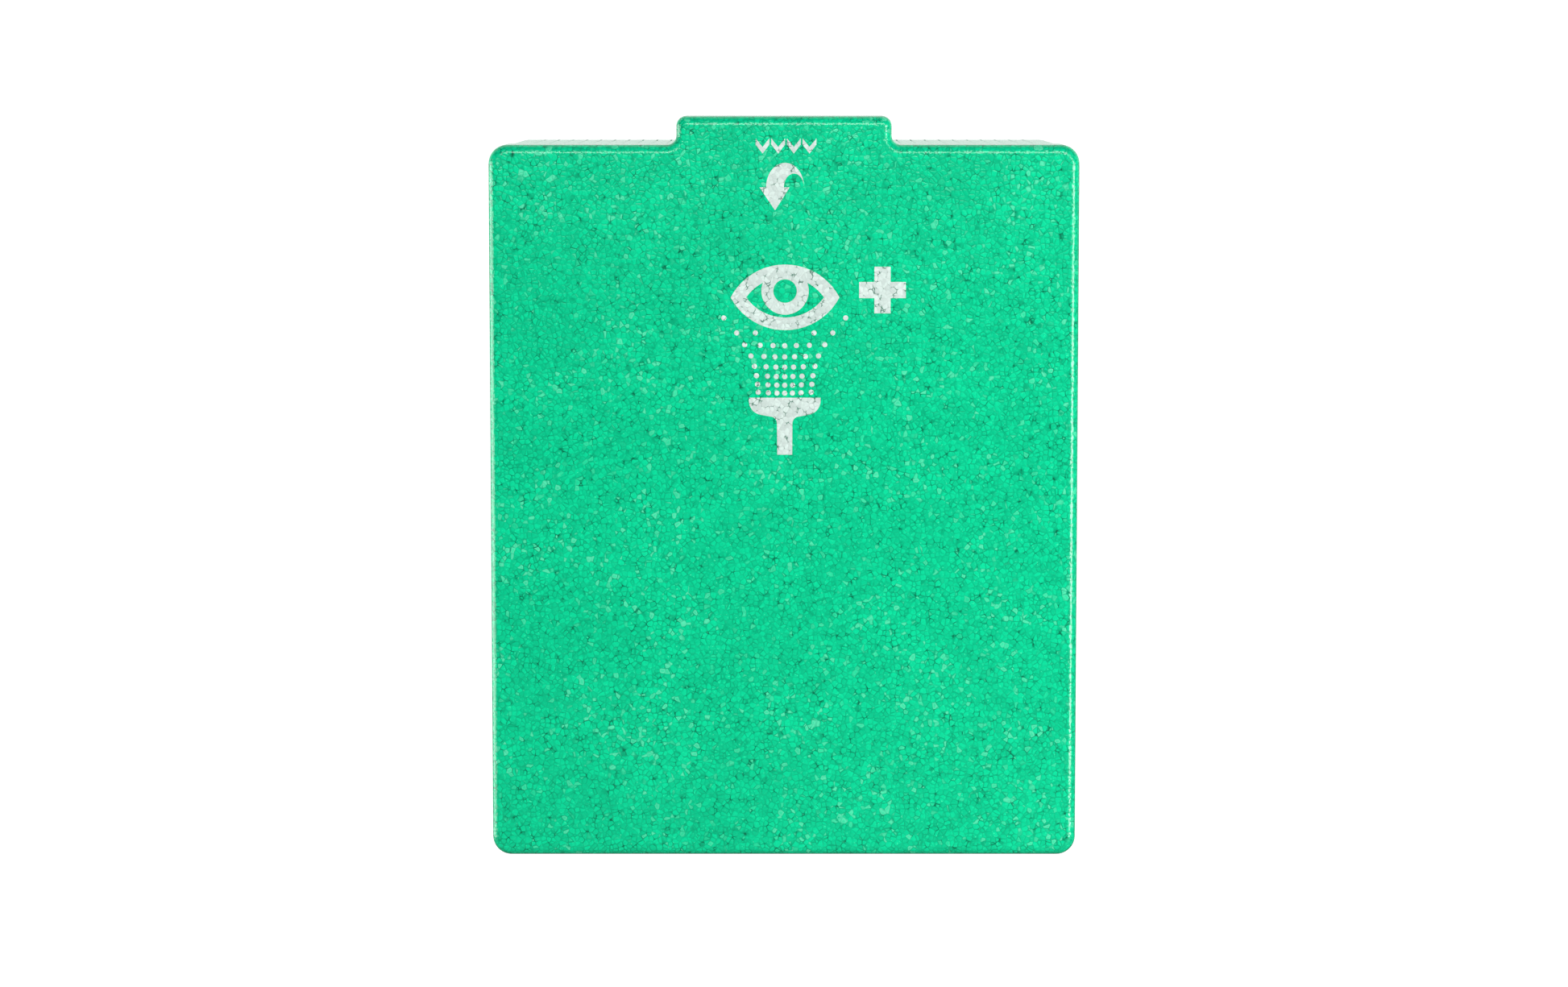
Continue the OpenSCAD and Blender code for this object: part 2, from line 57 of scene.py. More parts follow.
FRONT_Y = cover_lo.y             # outermost plane of the cover and its print
PART_Y = cover_hi.y              # parting plane between cover and body
TAB_H = 12 * MM
COVER_TOP = cover_hi.z - TAB_H   # top of the cover on both sides of the tab
RIM_R = 3.9 * MM                 # rounding of the cover's front edge
CORNER_R = 8 * MM                # corners of the body, seen from the front
PRINT_SKIN = 0.1 * MM            # how far the cover's face lies back under its print
FACE_Y = FRONT_Y + PRINT_SKIN
THIN_PRINT = 0.08 * MM
LABEL_PRINT = 0.06 * MM
GROOVE_W = 0.9 * MM
GROOVE_PITCH = 6.4 * MM
GROOVE_DEPTH = 0.6 * MM
GROOVE_DRAFT = 0.2 * MM
TOP_SUNK = 0.5 * MM              # the top of a dust cap, inside its rim

CAMERA_LENS = 97.65              # mm, on a sensor 36 mm wide
CAMERA_AWAY = 1.8
CAMERA_RISE = 0.0356
CAMERA_DIP = 5.82                # degrees below level
LIGHTS_AIM_Z = 0.16
FLOOR_Z = -0.3                   # leaves room for the cover to hang open

NEAR = 1e-5                      # a CAD vertex this close to a plane lies on it
FLUSH = 1e-6                     # the same for faces that are cut again
CUT_SNAP = 1e-7
SHARP_ANGLE = 28                 # degrees between faces, from which an edge stays crisp
FAINT = 0.01 * MM                # relief of a smooth finish


# ---- Camera, light and floor ----

def make_camera():
    """Long lens a little above the cover, that looks slightly down."""
    data = bpy.data.cameras.new("studio_camera")
    data.sensor_width = 36
    data.lens = CAMERA_LENS
    camera = bpy.data.objects.new("studio_camera", data)
    bpy.context.collection.objects.link(camera)
    camera.location = (0, FRONT_Y - CAMERA_AWAY, COVER_TOP + CAMERA_RISE)
    camera.rotation_euler = (math.radians(90 - CAMERA_DIP), 0, 0)
    bpy.context.scene.camera = camera


def area_light(name, place, width, height, power):
    """Softbox aimed at the middle of the cover."""
    data = bpy.data.lights.new(name, "AREA")
    data.shape = "RECTANGLE"
    data.size = width
    data.size_y = height
    data.energy = power
    light = bpy.data.objects.new(name, data)
    bpy.context.collection.objects.link(light)
    light.location = place
    aim = Vector((0, FRONT_Y, LIGHTS_AIM_Z)) - Vector(place)
    light.rotation_euler = aim.to_track_quat("-Z", "Y").to_euler()


def make_studio():
    """White backdrop behind, a dark room in front, and softboxes that line the rounded edges."""
    scene = bpy.context.scene
    scene.view_settings.view_transform = "Standard"
    world = bpy.data.worlds.new("pale_studio")
    scene.world = world
    world.use_nodes = True
    tree = world.node_tree
    background = tree.nodes["Background"]
    background.inputs["Color"].default_value = (1, 1, 1, 1)
    split = tree.nodes.new("ShaderNodeSeparateXYZ")
    tree.links.new(tree.nodes.new("ShaderNodeTexCoord").outputs["Generated"], split.inputs[0])
    dark_front, white_back = 0.04, 1.15
    room = ramp(tree, split.outputs["Y"], 0.0, 0.45, dark_front, white_back)
    seen = tree.nodes.new("ShaderNodeLightPath").outputs["Is Camera Ray"]
    tree.links.new(math_node(tree, "MAXIMUM", room, seen), background.inputs["Strength"])
    area_light("key_box", (0.15, -2.2, 1.08), width=1.9, height=0.5, power=29)
    area_light("right_panel", (1.15, -1.17, 0.06), width=0.5, height=0.8, power=21)
    area_light("left_panel", (-1.42, 0.02, 0.06), width=1.3, height=0.8, power=20)


def make_floor():
    """Floor that looks white, and throws only a little light up at the cabinet."""
    bm = bmesh.new()
    bmesh.ops.create_grid(bm, x_segments=1, y_segments=1, size=30)
    bmesh.ops.translate(bm, verts=bm.verts, vec=(0, 0, FLOOR_Z))
    material = material_plain("pale_floor", colour=(0.15, 0.15, 0.15), roughness=0.9)
    tree = material.node_tree
    shader = tree.nodes["Principled BSDF"]
    shader.inputs["Emission Color"].default_value = (1, 1, 1, 1)
    seen = tree.nodes.new("ShaderNodeLightPath").outputs["Is Camera Ray"]
    tree.links.new(seen, shader.inputs["Emission Strength"])
    finish_mesh("studio_floor", bm, material)


# ---- Mesh helpers ----

def finish_mesh(name, bm, material):
    """An object at the origin from a finished bmesh."""
    mesh = bpy.data.meshes.new(name)
    bm.to_mesh(mesh)
    bm.free()
    mesh.materials.append(material)
    piece = bpy.data.objects.new(name, mesh)
    bpy.context.collection.objects.link(piece)
    return piece


def arc(x, z, r, start, end, steps):
    """Points of a circular arc, angles in degrees."""
    angles = [math.radians(start + (end - start) * i / steps) for i in range(steps + 1)]
    return [(x + r * math.cos(a), z + r * math.sin(a)) for a in angles]


def merged_copy(node):
    """A bmesh of a CAD node, with its triangles joined into whole flat faces."""
    bm = bmesh.new()
    bm.from_mesh(nodes[node].data)
    bmesh.ops.remove_doubles(bm, verts=bm.verts, dist=FLUSH)
    bmesh.ops.dissolve_limit(bm, angle_limit=math.radians(0.5), verts=bm.verts, edges=bm.edges)
    return bm


def slice_faces(bm, faces, place, turn):
    """Cuts the faces along a plane through place, square to turn."""
    edges = list(dict.fromkeys(e for f in faces for e in f.edges))
    verts = list(dict.fromkeys(v for f in faces for v in f.verts))
    bmesh.ops.bisect_plane(bm, geom=verts + edges + faces, plane_co=place, plane_no=turn,
                           dist=CUT_SNAP)


def new_verts(made):
    """The vertices among the geometry that an operator returns."""
    return [part for part in made if isinstance(part, bmesh.types.BMVert)]


def rim_edges(bm, y, on_outline):
    """Edges on the plane y where a moulding's outer wall meets its flat face."""
    return [e for e in bm.edges
            if all(abs(v.co.y - y) < NEAR and on_outline(v.co) for v in e.verts)
            and any(abs(f.normal.y) < 0.01 for f in e.link_faces)]


# ---- Shader helpers ----

def new_material(name):
    material = bpy.data.materials.new(name)
    material.use_nodes = True
    tree = material.node_tree
    return material, tree, tree.nodes["Principled BSDF"]


def add(tree, kind, **values):
    """A node with its properties and, where a value's name is a socket's, its inputs set."""
    made = tree.nodes.new(kind)
    for name, value in values.items():
        if hasattr(made, name):
            setattr(made, name, value)
        else:
            made.inputs[name.replace("_", " ")].default_value = value
    return made


def math_node(tree, operation, a, b=None, clamp=False):
    """One sum of two numbers or sockets."""
    made = tree.nodes.new("ShaderNodeMath")
    made.operation = operation
    made.use_clamp = clamp
    for socket, value in zip(made.inputs, (a, b)):
        if isinstance(value, (int, float)):
            socket.default_value = value
        elif value is not None:
            tree.links.new(value, socket)
    return made.outputs[0]


def ramp(tree, value, low, high, out_low=0.0, out_high=1.0):
    """Smooth step from out_low to out_high as the value goes from low to high."""
    made = tree.nodes.new("ShaderNodeMapRange")
    made.interpolation_type = "SMOOTHSTEP"
    tree.links.new(value, made.inputs["Value"])
    ends = {"From Min": low, "From Max": high, "To Min": out_low, "To Max": out_high}
    for name, number in ends.items():
        made.inputs[name].default_value = number
    return made.outputs[0]


def mix_colour(tree, factor, a, b):
    """Colour a turned into b by the factor; a and b are colours or sockets."""
    made = tree.nodes.new("ShaderNodeMix")
    made.data_type = "RGBA"
    tree.links.new(factor, made.inputs[0])
    for socket, value in ((made.inputs[6], a), (made.inputs[7], b)):
        if isinstance(value, tuple):
            socket.default_value = (*value, 1)
        else:
            tree.links.new(value, socket)
    return made.outputs[2]


def object_coords(tree):
    """A piece's own coordinates, which ride with it."""
    return tree.nodes.new("ShaderNodeTexCoord").outputs["Object"]


def new_group(name, inputs, outputs):
    """A shader group; inputs are name to default value, outputs are name to kind of socket."""
    group = bpy.data.node_groups.new(name, "ShaderNodeTree")
    kinds = {float: "NodeSocketFloat", tuple: "NodeSocketColor", type(None): "NodeSocketVector"}
    for label, value in inputs.items():
        socket = group.interface.new_socket(label, in_out="INPUT", socket_type=kinds[type(value)])
        if value is not None:
            socket.default_value = value if isinstance(value, float) else (*value, 1)
    for label, kind in outputs.items():
        group.interface.new_socket(label, in_out="OUTPUT", socket_type="NodeSocket" + kind)
    given = group.nodes.new("NodeGroupInput").outputs
    return group, given, group.nodes.new("NodeGroupOutput").inputs


def make_bead_group():
    """Fused foam beads: a tone for each, broken outlines, pale drifts, pits where they meet, and
    painted glints (painted highlights).
    """
    group, given, out = new_group(
        "fused_beads",
        {"Vector": None, "Beads per metre": 480.0, "Colour": (0.0, 0.6, 0.28),
         # The pale bead colour also paints the glints, which are small painted highlights.
         "Outline": (0.0, 0.4, 0.18), "Pale bead": (0.12, 0.80, 0.47), "Pit": (0.0, 0.2, 0.09),
         "Pale share": 1.0, "Pit share": 1.0},
        {"Colour": "Color", "Height": "Float", "Pits": "Float"})
    link = group.links.new

    def times(a, b, clamp=False):
        return math_node(group, "MULTIPLY", a, b, clamp)

    def plus(a, b):
        return math_node(group, "ADD", a, b)

    # The beads are cells of a slightly swayed grid, so that no two have the same shape.
    sway = add(group, "ShaderNodeTexNoise", Scale=420.0, Detail=1.0)
    link(given["Vector"], sway.inputs["Vector"])
    shifted = group.nodes.new("ShaderNodeVectorMath")
    shifted.operation = "MULTIPLY_ADD"
    link(sway.outputs["Color"], shifted.inputs[0])
    shifted.inputs[1].default_value = (0.7 * MM, 0.7 * MM, 0.7 * MM)
    link(given["Vector"], shifted.inputs[2])
    cells = add(group, "ShaderNodeTexVoronoi", Randomness=0.95)
    edges = add(group, "ShaderNodeTexVoronoi", feature="DISTANCE_TO_EDGE", Randomness=0.95)
    for texture in (cells, edges):
        link(shifted.outputs[0], texture.inputs["Vector"])
        link(given["Beads per metre"], texture.inputs["Scale"])
    chance = group.nodes.new("ShaderNodeSeparateColor")
    link(cells.outputs["Color"], chance.inputs[0])
    drifts = add(group, "ShaderNodeTexNoise", Scale=26.0, Detail=2.0)
    breaks = add(group, "ShaderNodeTexNoise", Scale=330.0, Detail=1.0)
    grain = add(group, "ShaderNodeTexNoise", Scale=1300.0, Detail=2.0)
    for texture in (drifts, breaks, grain):
        link(given["Vector"], texture.inputs["Vector"])
    edge, drift, broken, fine = (edges.outputs["Distance"], drifts.outputs[0],
                                 breaks.outputs[0], grain.outputs[0])

    # Outlines fade in and out; pits open only where three beads meet.
    outline = times(ramp(group, edge, 0.02, 0.15, 1.0, 0.0),
                    ramp(group, broken, 0.35, 0.6, 0.35, 0.95))
    junction = ramp(group, cells.outputs["Distance"], 0.56, 0.74)
    open_spots = ramp(group, times(broken, given["Pit share"]), 0.57, 0.66)
    pits = times(times(junction, ramp(group, edge, 0.0, 0.10, 1.0, 0.0)), open_spots, clamp=True)

    # Each bead has its own tone, which the drifts and the fine grain shift a little.
    tone = plus(ramp(group, chance.outputs[0], 0.0, 1.0, 0.90, 1.11),
                ramp(group, drift, 0.3, 0.7, -0.04, 0.04))
    tone = plus(tone, ramp(group, fine, 0.3, 0.7, -0.05, 0.05))
    toned = group.nodes.new("ShaderNodeVectorMath")
    toned.operation = "SCALE"
    link(given["Colour"], toned.inputs[0])
    link(tone, toned.inputs["Scale"])

    # Some beads are pale, more of them in the drifts, and paler still at their rims, where this
    # paints glints on them. All beads also get small painted glints, which are painted highlights
    # in the pale colour.
    gathered = ramp(group, drift, 0.38, 0.66, -0.06, 0.07)
    pale = ramp(group, plus(chance.outputs[1], gathered), 0.85, 1.01, 0.0, 0.85)
    # Pale beads are paler at their rims: painted glints on the pale beads.
    rim = ramp(group, edge, 0.08, 0.30, 1.0, 0.45)
    pale = times(times(pale, rim), given["Pale share"])
    colour = mix_colour(group, pale, toned.outputs[0], given["Pale bead"])
    # Painted glints: painted highlights on specks of the fine grain, in the pale bead colour.
    painted_glint = times(ramp(group, fine, 0.67, 0.77, 0.0, 0.6), given["Pale share"])
    colour = mix_colour(group, painted_glint, colour, given["Pale bead"])
    colour = mix_colour(group, outline, colour, given["Outline"])
    colour = mix_colour(group, pits, colour, given["Pit"])

    link(colour, out["Colour"])
    link(plus(ramp(group, edge, 0.0, 0.35), times(fine, 0.15)), out["Height"])
    link(pits, out["Pits"])
    return group


def make_grain_group():
    """Fine moulded grain for plastics: a height, a roughness and faint scuffs."""
    group, given, out = new_group(
        "moulded_grain",
        {"Vector": None, "Grain per metre": 2500.0, "Roughness": 0.5, "Scuffs": 0.3},
        {"Height": "Float", "Roughness": "Float", "Scuff": "Float"})
    link = group.links.new
    grain = add(group, "ShaderNodeTexNoise", Detail=3.0)
    link(given["Vector"], grain.inputs["Vector"])
    link(given["Grain per metre"], grain.inputs["Scale"])
    marks = add(group, "ShaderNodeTexNoise", Scale=70.0, Detail=5.0, Distortion=1.5)
    link(given["Vector"], marks.inputs["Vector"])
    scuff = math_node(group, "MULTIPLY", ramp(group, marks.outputs[0], 0.5, 0.85), given["Scuffs"])
    link(grain.outputs[0], out["Height"])
    link(scuff, out["Scuff"])
    worn = math_node(group, "ADD", given["Roughness"], math_node(group, "MULTIPLY", scuff, 0.25))
    uneven = ramp(group, grain.outputs[0], 0.3, 0.7, -0.05, 0.05)
    link(math_node(group, "ADD", worn, uneven), out["Roughness"])
    return group


def place_group(tree, group, **values):
    """A shader group in a material, on the piece's own coordinates."""
    made = tree.nodes.new("ShaderNodeGroup")
    made.node_tree = group
    tree.links.new(object_coords(tree), made.inputs["Vector"])
    for name, value in values.items():
        socket = made.inputs[name.replace("_", " ")]
        socket.default_value = value if isinstance(value, float) else (*value, 1)
    return made.outputs


def add_bump(tree, shader, height, distance):
    """Relief from a height, up to a distance in metres."""
    bump = add(tree, "ShaderNodeBump", Strength=1.0, Distance=distance)
    tree.links.new(height, bump.inputs["Height"])
    tree.links.new(bump.outputs[0], shader.inputs["Normal"])


# ---- Materials ----

def material_plain(name, colour, roughness):
    """Even paint, for the floor only."""
    material, _, shader = new_material(name)
    shader.inputs["Base Color"].default_value = (*colour, 1)
    shader.inputs["Roughness"].default_value = roughness
    return material


def material_foam(name, colour):
    """Moulded bead foam with a shiny skin."""
    material, tree, shader = new_material(name)
    beads = place_group(tree, BEADS, Colour=colour, Outline=tuple(0.62 * c for c in colour),
                        Pit=tuple(0.22 * c for c in colour))
    tree.links.new(beads["Colour"], shader.inputs["Base Color"])
    shader.inputs["Roughness"].default_value = 0.19
    shader.inputs["Specular IOR Level"].default_value = 0.42
    add_bump(tree, shader, beads["Height"], 0.06 * MM)
    return material


def material_ink(name, colour, foam_pit):
    """Screen ink that bridges the beads but leaves some pits between them open."""
    material, tree, shader = new_material(name)
    beads = place_group(tree, BEADS, Colour=colour, Outline=tuple(0.9 * c for c in colour),
                        Pale_bead=colour, Pit=foam_pit, Pale_share=0.0, Pit_share=1.18)
    tree.links.new(beads["Colour"], shader.inputs["Base Color"])
    shader.inputs["Roughness"].default_value = 0.5
    shader.inputs["Specular IOR Level"].default_value = 0.1
    add_bump(tree, shader, beads["Height"], 0.05 * MM)
    return material


def material_clear(name, colour, roughness, transmission, ior):
    """Translucent plastic or liquid."""
    material, tree, shader = new_material(name)
    finish = place_group(tree, GRAIN, Grain_per_metre=1500.0, Roughness=roughness, Scuffs=0.2)
    shader.inputs["Base Color"].default_value = (*colour, 1)
    tree.links.new(finish["Roughness"], shader.inputs["Roughness"])
    shader.inputs["Transmission Weight"].default_value = transmission
    shader.inputs["IOR"].default_value = ior
    add_bump(tree, shader, finish["Height"], FAINT)
    return material


def material_moulded(name, colour, roughness=0.45, grain=2500.0, bump=0.04 * MM, scuffs=0.3):
    """Moulded plastic, rubber or printed film; grain is in lines per metre."""
    material, tree, shader = new_material(name)
    finish = place_group(tree, GRAIN, Grain_per_metre=grain, Roughness=roughness, Scuffs=scuffs)
    scuffed = tuple(c + 0.12 * (0.5 - c) for c in colour)
    tree.links.new(mix_colour(tree, finish["Scuff"], colour, scuffed), shader.inputs["Base Color"])
    tree.links.new(finish["Roughness"], shader.inputs["Roughness"])
    shader.inputs["Specular IOR Level"].default_value = 0.4
    add_bump(tree, shader, finish["Height"], bump)
    return material


def material_metal(name, colour, roughness, brushed=(1.0, 1.0, 1.0)):
    """Bare or plated metal; brushed squeezes the grain along the brushing direction."""
    material, tree, shader = new_material(name)
    stretch = add(tree, "ShaderNodeMapping")
    stretch.inputs["Scale"].default_value = brushed
    tree.links.new(object_coords(tree), stretch.inputs["Vector"])
    grain = add(tree, "ShaderNodeTexNoise", Scale=1800.0, Detail=4.0)
    tree.links.new(stretch.outputs[0], grain.inputs["Vector"])
    cloud = add(tree, "ShaderNodeTexNoise", Scale=120.0, Detail=3.0)
    tree.links.new(object_coords(tree), cloud.inputs["Vector"])
    clouded = ramp(tree, cloud.outputs[0], 0.35, 0.7, 0.0, 0.35)
    dulled = tuple(0.72 * c for c in colour)
    tree.links.new(mix_colour(tree, clouded, colour, dulled), shader.inputs["Base Color"])
    uneven = ramp(tree, grain.outputs[0], 0.3, 0.7, roughness - 0.08, roughness + 0.1)
    tree.links.new(uneven, shader.inputs["Roughness"])
    shader.inputs["Metallic"].default_value = 1.0
    add_bump(tree, shader, grain.outputs[0], FAINT)
    return material


BEADS = make_bead_group()
GRAIN = make_grain_group()
FOAM_GREEN = (0.0004, 0.613, 0.285)
INK_WHITE = (0.61, 0.72, 0.675)
OPEN_PIT = (0.02, 0.15, 0.09)
foam = material_foam("bead_foam", FOAM_GREEN)
ink = material_ink("white_screen_ink", INK_WHITE, OPEN_PIT)
symbol_green = material_moulded("printed_green", (0.0, 0.30, 0.15), 0.4, bump=FAINT)
cap_white = material_moulded("printed_white", (0.80, 0.82, 0.81), 0.4, bump=FAINT)

# The finish of each of the record's material slots.
FINISHES = {
    "body_foam": foam,
    "cover_foam": foam,
    "white_card": material_moulded("card_sheet", (0.84, 0.86, 0.85), 0.4, bump=FAINT),
    "zinc_steel": material_metal("zinc_plated_steel", (0.66, 0.68, 0.70), 0.32),
    "nylon_rivet": material_moulded("white_nylon", (0.80, 0.81, 0.80), 0.38),
    "rear_sheet": material_moulded(
        "black_rear_sheet", (0.018, 0.019, 0.02), 0.55, grain=900.0, bump=0.1 * MM),
    "black_nylon": material_moulded(
        "black_nylon", (0.02, 0.02, 0.021), 0.45, grain=1600.0, bump=0.06 * MM),
    "case_plastic": material_moulded(
        "spark_eroded_black", (0.028, 0.028, 0.03), 0.6, grain=2200.0, bump=0.08 * MM),
    "circuit_board": material_moulded(
        "solder_resist", (0.01, 0.16, 0.05), 0.3, bump=FAINT, scuffs=0.1),
    "cable_jacket": material_moulded("black_cable_jacket", (0.015, 0.015, 0.016), 0.5),
    "heater_cable": material_moulded("pale_silicone_cable", (0.60, 0.57, 0.52), 0.5),
    "brass_contact": material_metal("nickelled_brass", (0.80, 0.66, 0.42), 0.28),
    "silicone_mat": material_moulded(
        "silicone_mat", (0.50, 0.10, 0.02), 0.55, grain=1200.0, bump=0.15 * MM),
    "heat_spreader": material_metal(
        "rolled_aluminium", (0.80, 0.81, 0.82), 0.30, brushed=(8.0, 8.0, 0.3)),
    "thermostat": material_moulded("thermostat_cap", (0.02, 0.02, 0.02), 0.4),
    "lamp_lens": material_moulded(
        "green_lamp_lens", (0.10, 0.75, 0.20), 0.15, bump=FAINT, scuffs=0.0),
    "bottle_plastic": material_clear(
        "milky_bottle", (0.86, 0.92, 0.91), 0.30, transmission=0.55, ior=1.5),
    "saline": material_clear("saline", (0.86, 0.95, 0.98), 0.05, transmission=0.9, ior=1.34),
    "label_film": material_moulded(
        "label_film", (0.86, 0.89, 0.88), 0.3, bump=FAINT, scuffs=0.1),
    "cup_plastic": material_moulded("green_cup_plastic", (0.01, 0.30, 0.15), 0.3, bump=0.02 * MM),
    "insert_plastic": material_moulded(
        "white_insert_plastic", (0.82, 0.84, 0.84), 0.3, bump=0.02 * MM),
    "seal_film": material_moulded("clear_seal_film", (0.72, 0.80, 0.78), 0.2, bump=0.03 * MM),
    "cap_plastic": material_moulded("green_cap_plastic", (0.01, 0.34, 0.17), 0.32, bump=0.03 * MM),
}


def dress_cad_nodes():
    """Gives every CAD node the finish of its slot."""
    slot_of = {part["node"]: part["material_slot"] for part in frame["record"]["subparts"]}
    for name, node in nodes.items():
        for slot in node.material_slots:
            slot.material = FINISHES[slot_of[name]]


# ---- Foam mouldings ----

def shade_by_angle(piece):
    """Smooth shading that stays crisp along the real edges."""
    piece.data.shade_smooth()
    piece.data.set_sharp_from_angle(angle=math.radians(SHARP_ANGLE))
    piece.modifiers.new("even_shading", "WEIGHTED_NORMAL").keep_sharp = True


def soften(bm, edges, radius, segments):
    """Rounds edges."""
    bmesh.ops.bevel(bm, geom=edges, offset=radius, offset_type="OFFSET", segments=segments,
                    profile=0.5, affect="EDGES", material=-1)


def make_cover():
    """The cover's CAD solid with its front rim well rounded and its rear rim just broken."""
    bm = merged_copy("front_cover")
    front = [v for v in bm.verts if abs(v.co.y - FRONT_Y) < NEAR]
    outline = {(round(v.co.x, 5), round(v.co.z, 5)) for v in front}
    bmesh.ops.translate(bm, verts=front, vec=(0, PRINT_SKIN, 0))

    def on_outline(point):
        return (round(point.x, 5), round(point.z, 5)) in outline

    soften(bm, rim_edges(bm, PART_Y, on_outline), 0.7 * MM, 2)
    soften(bm, rim_edges(bm, FACE_Y, on_outline), RIM_R, 7)
    cover = finish_mesh("cover_foam", bm, foam)
    shade_by_angle(cover)
    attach(cover, "cover")
    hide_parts("front_cover")


def on_body_outline(point):
    """Whether a point lies on the body's rounded outline, seen from the front."""
    half_w, half_h = body_hi.x, (body_hi.z - body_lo.z) / 2
    dx = max(abs(point.x) - (half_w - CORNER_R), 0)
    dz = max(abs(point.z - half_h) - (half_h - CORNER_R), 0)
    return abs(math.hypot(dx, dz) - CORNER_R) < 2 * NEAR


def cut_grooves(bm, normal, across):
    """Fine straight grooves in one outer face of the body, short of its front and rear edges."""
    normal, across = Vector(normal), Vector(across)
    level = max(v.co.dot(normal) for v in bm.verts)

    def skin():
        return [f for f in bm.faces
                if all(abs(v.co.dot(normal) - level) < FLUSH for v in f.verts)]

    reach = [v.co.dot(across) for f in skin() for v in f.verts]
    middle = (min(reach) + max(reach)) / 2
    count = int((max(reach) - min(reach)) / 2 / GROOVE_PITCH - 0.3)
    lines = [middle + k * GROOVE_PITCH for k in range(-count, count + 1)]
    ends = (PART_Y + 2.5 * MM, body_hi.y - 3 * MM)
    for y in ends:
        slice_faces(bm, skin(), (0, y, 0), (0, 1, 0))
    for line in lines:
        for half in (-GROOVE_W / 2, GROOVE_W / 2):
            slice_faces(bm, skin(), across * (line + half), across)
    strips = []
    for face in skin():
        centre = face.calc_center_median()
        off_line = min(abs(centre.dot(across) - line) for line in lines)
        if ends[0] < centre.y < ends[1] and off_line < GROOVE_W / 4:
            strips.append(face)
    bm.normal_update()
    bmesh.ops.inset_individual(bm, faces=strips, thickness=GROOVE_DRAFT, depth=-GROOVE_DEPTH)


def make_body():
    """The body's CAD solid with its outer edges broken and grooves along the top and both sides."""
    bm = merged_copy("body_shell")
    soften(bm, rim_edges(bm, PART_Y, on_body_outline), 0.8 * MM, 2)
    soften(bm, rim_edges(bm, body_hi.y, on_body_outline), 2.0 * MM, 4)
    cut_grooves(bm, normal=(0, 0, 1), across=(1, 0, 0))
    cut_grooves(bm, normal=(1, 0, 0), across=(0, 0, 1))
    cut_grooves(bm, normal=(-1, 0, 0), across=(0, 0, 1))
    body = finish_mesh("body_foam", bm, foam)
    shade_by_angle(body)
    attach(body, "cabinet")
    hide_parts("body_shell")


# ---- Printed symbols, drawn flat in millimetres; s scales a symbol ----

def add_outline(bm, points):
    """A flat face from an outline in x and z."""
    return bm.faces.new([bm.verts.new((x, z, 0)) for x, z in points])


def add_band(bm, outer, inner):
    """A flat band between two closed outlines that have the same number of points."""
    for k in range(len(outer)):
        n = (k + 1) % len(outer)
        bm.faces.new([bm.verts.new((*p, 0)) for p in (outer[k], outer[n], inner[n], inner[k])])


def add_disc(bm, x, z, r, segments=16):
    made = bmesh.ops.create_circle(bm, cap_ends=True, segments=segments, radius=r,
                                   matrix=Matrix.Translation((x, z, 0)))
    return made["verts"][0].link_faces[0]


def add_ring(bm, x, z, outer_r, inner_r, segments=48):
    disc = add_disc(bm, x, z, outer_r, segments)
    width = (outer_r - inner_r) * math.cos(math.pi / segments)
    bmesh.ops.inset_individual(bm, faces=[disc], thickness=width)
    bmesh.ops.delete(bm, geom=[disc], context="FACES_ONLY")


def lens(x, z, half_w, rise, steps=20):
    """An eye-shaped outline: two equal arcs that meet in points."""
    r = (half_w ** 2 + rise ** 2) / (2 * rise)
    reach = math.degrees(math.asin(half_w / r))
    upper = arc(x, z + rise - r, r, 90 - reach, 90 + reach, steps)
    lower = arc(x, z - rise + r, r, 270 - reach, 270 + reach, steps)
    return upper[:-1] + lower[:-1]


def add_eyelids(bm, x, z, s=1.0):
    """Eye-shaped band."""
    add_band(bm, lens(x, z, 23.2 * s, 14.0 * s), lens(x, z, 16.6 * s, 8.6 * s))


def add_iris(bm, x, z, s=1.0):
    """Iris ring that touches the upper lid."""
    add_ring(bm, x, z + 2.7 * s, 10.1 * s, 5.0 * s)


def add_cross(bm, x, z, s=1.0):
    """Upright cross with equal arms."""
    arm, half_w = 9.95 * s, 3.45 * s
    quarter = [(arm, -half_w), (arm, half_w), (half_w, half_w)]
    points = []
    for c, t in ((1, 0), (0, 1), (-1, 0), (0, -1)):
        points += [(x + c * px - t * pz, z + t * px + c * pz) for px, pz in quarter]
    add_outline(bm, points)


def add_drops(bm, x, z, s=1.0):
    """Water spray: six full rows that narrow downwards, under a row of four and a row of two."""
    drop_r = 1.1

    def dot(dx, dz):
        add_disc(bm, x + dx * s, z + dz * s, drop_r * s)

    for side in (-1, 1):
        dot(side * 26.0, 31.7)
        dot(side * 20.5, 25.3)
        dot(side * 12.5, 25.3)
    height = 20.25
    for row in range(6):
        # Rows draw in and come closer as they near the head; each row's ends sit a little high.
        half = 11.0 + 6.1 * 0.56 ** row
        for k in range(-3, 4):
            t = k / 3
            dot(half * (0.86 * t + 0.14 * t ** 3), height - 0.4 * (1 - t * t))
        height -= 4.8 * 0.917 ** row


def add_spray_head(bm, x, z, s=1.0):
    """Bowl of the spray head with a flat top at z, and its stem."""
    half = [(15.3, 0.0), *arc(9.3, -1.4, 6.0, 0, -80, 10),
            *arc(6.2, -11.0, 2.9, 90, 180, 8), (3.2, -24.5)]
    points = [(x + px * s, z + pz * s) for px, pz in half]
    points += [(2 * x - px, pz) for px, pz in reversed(points)]
    add_outline(bm, points[::-1])


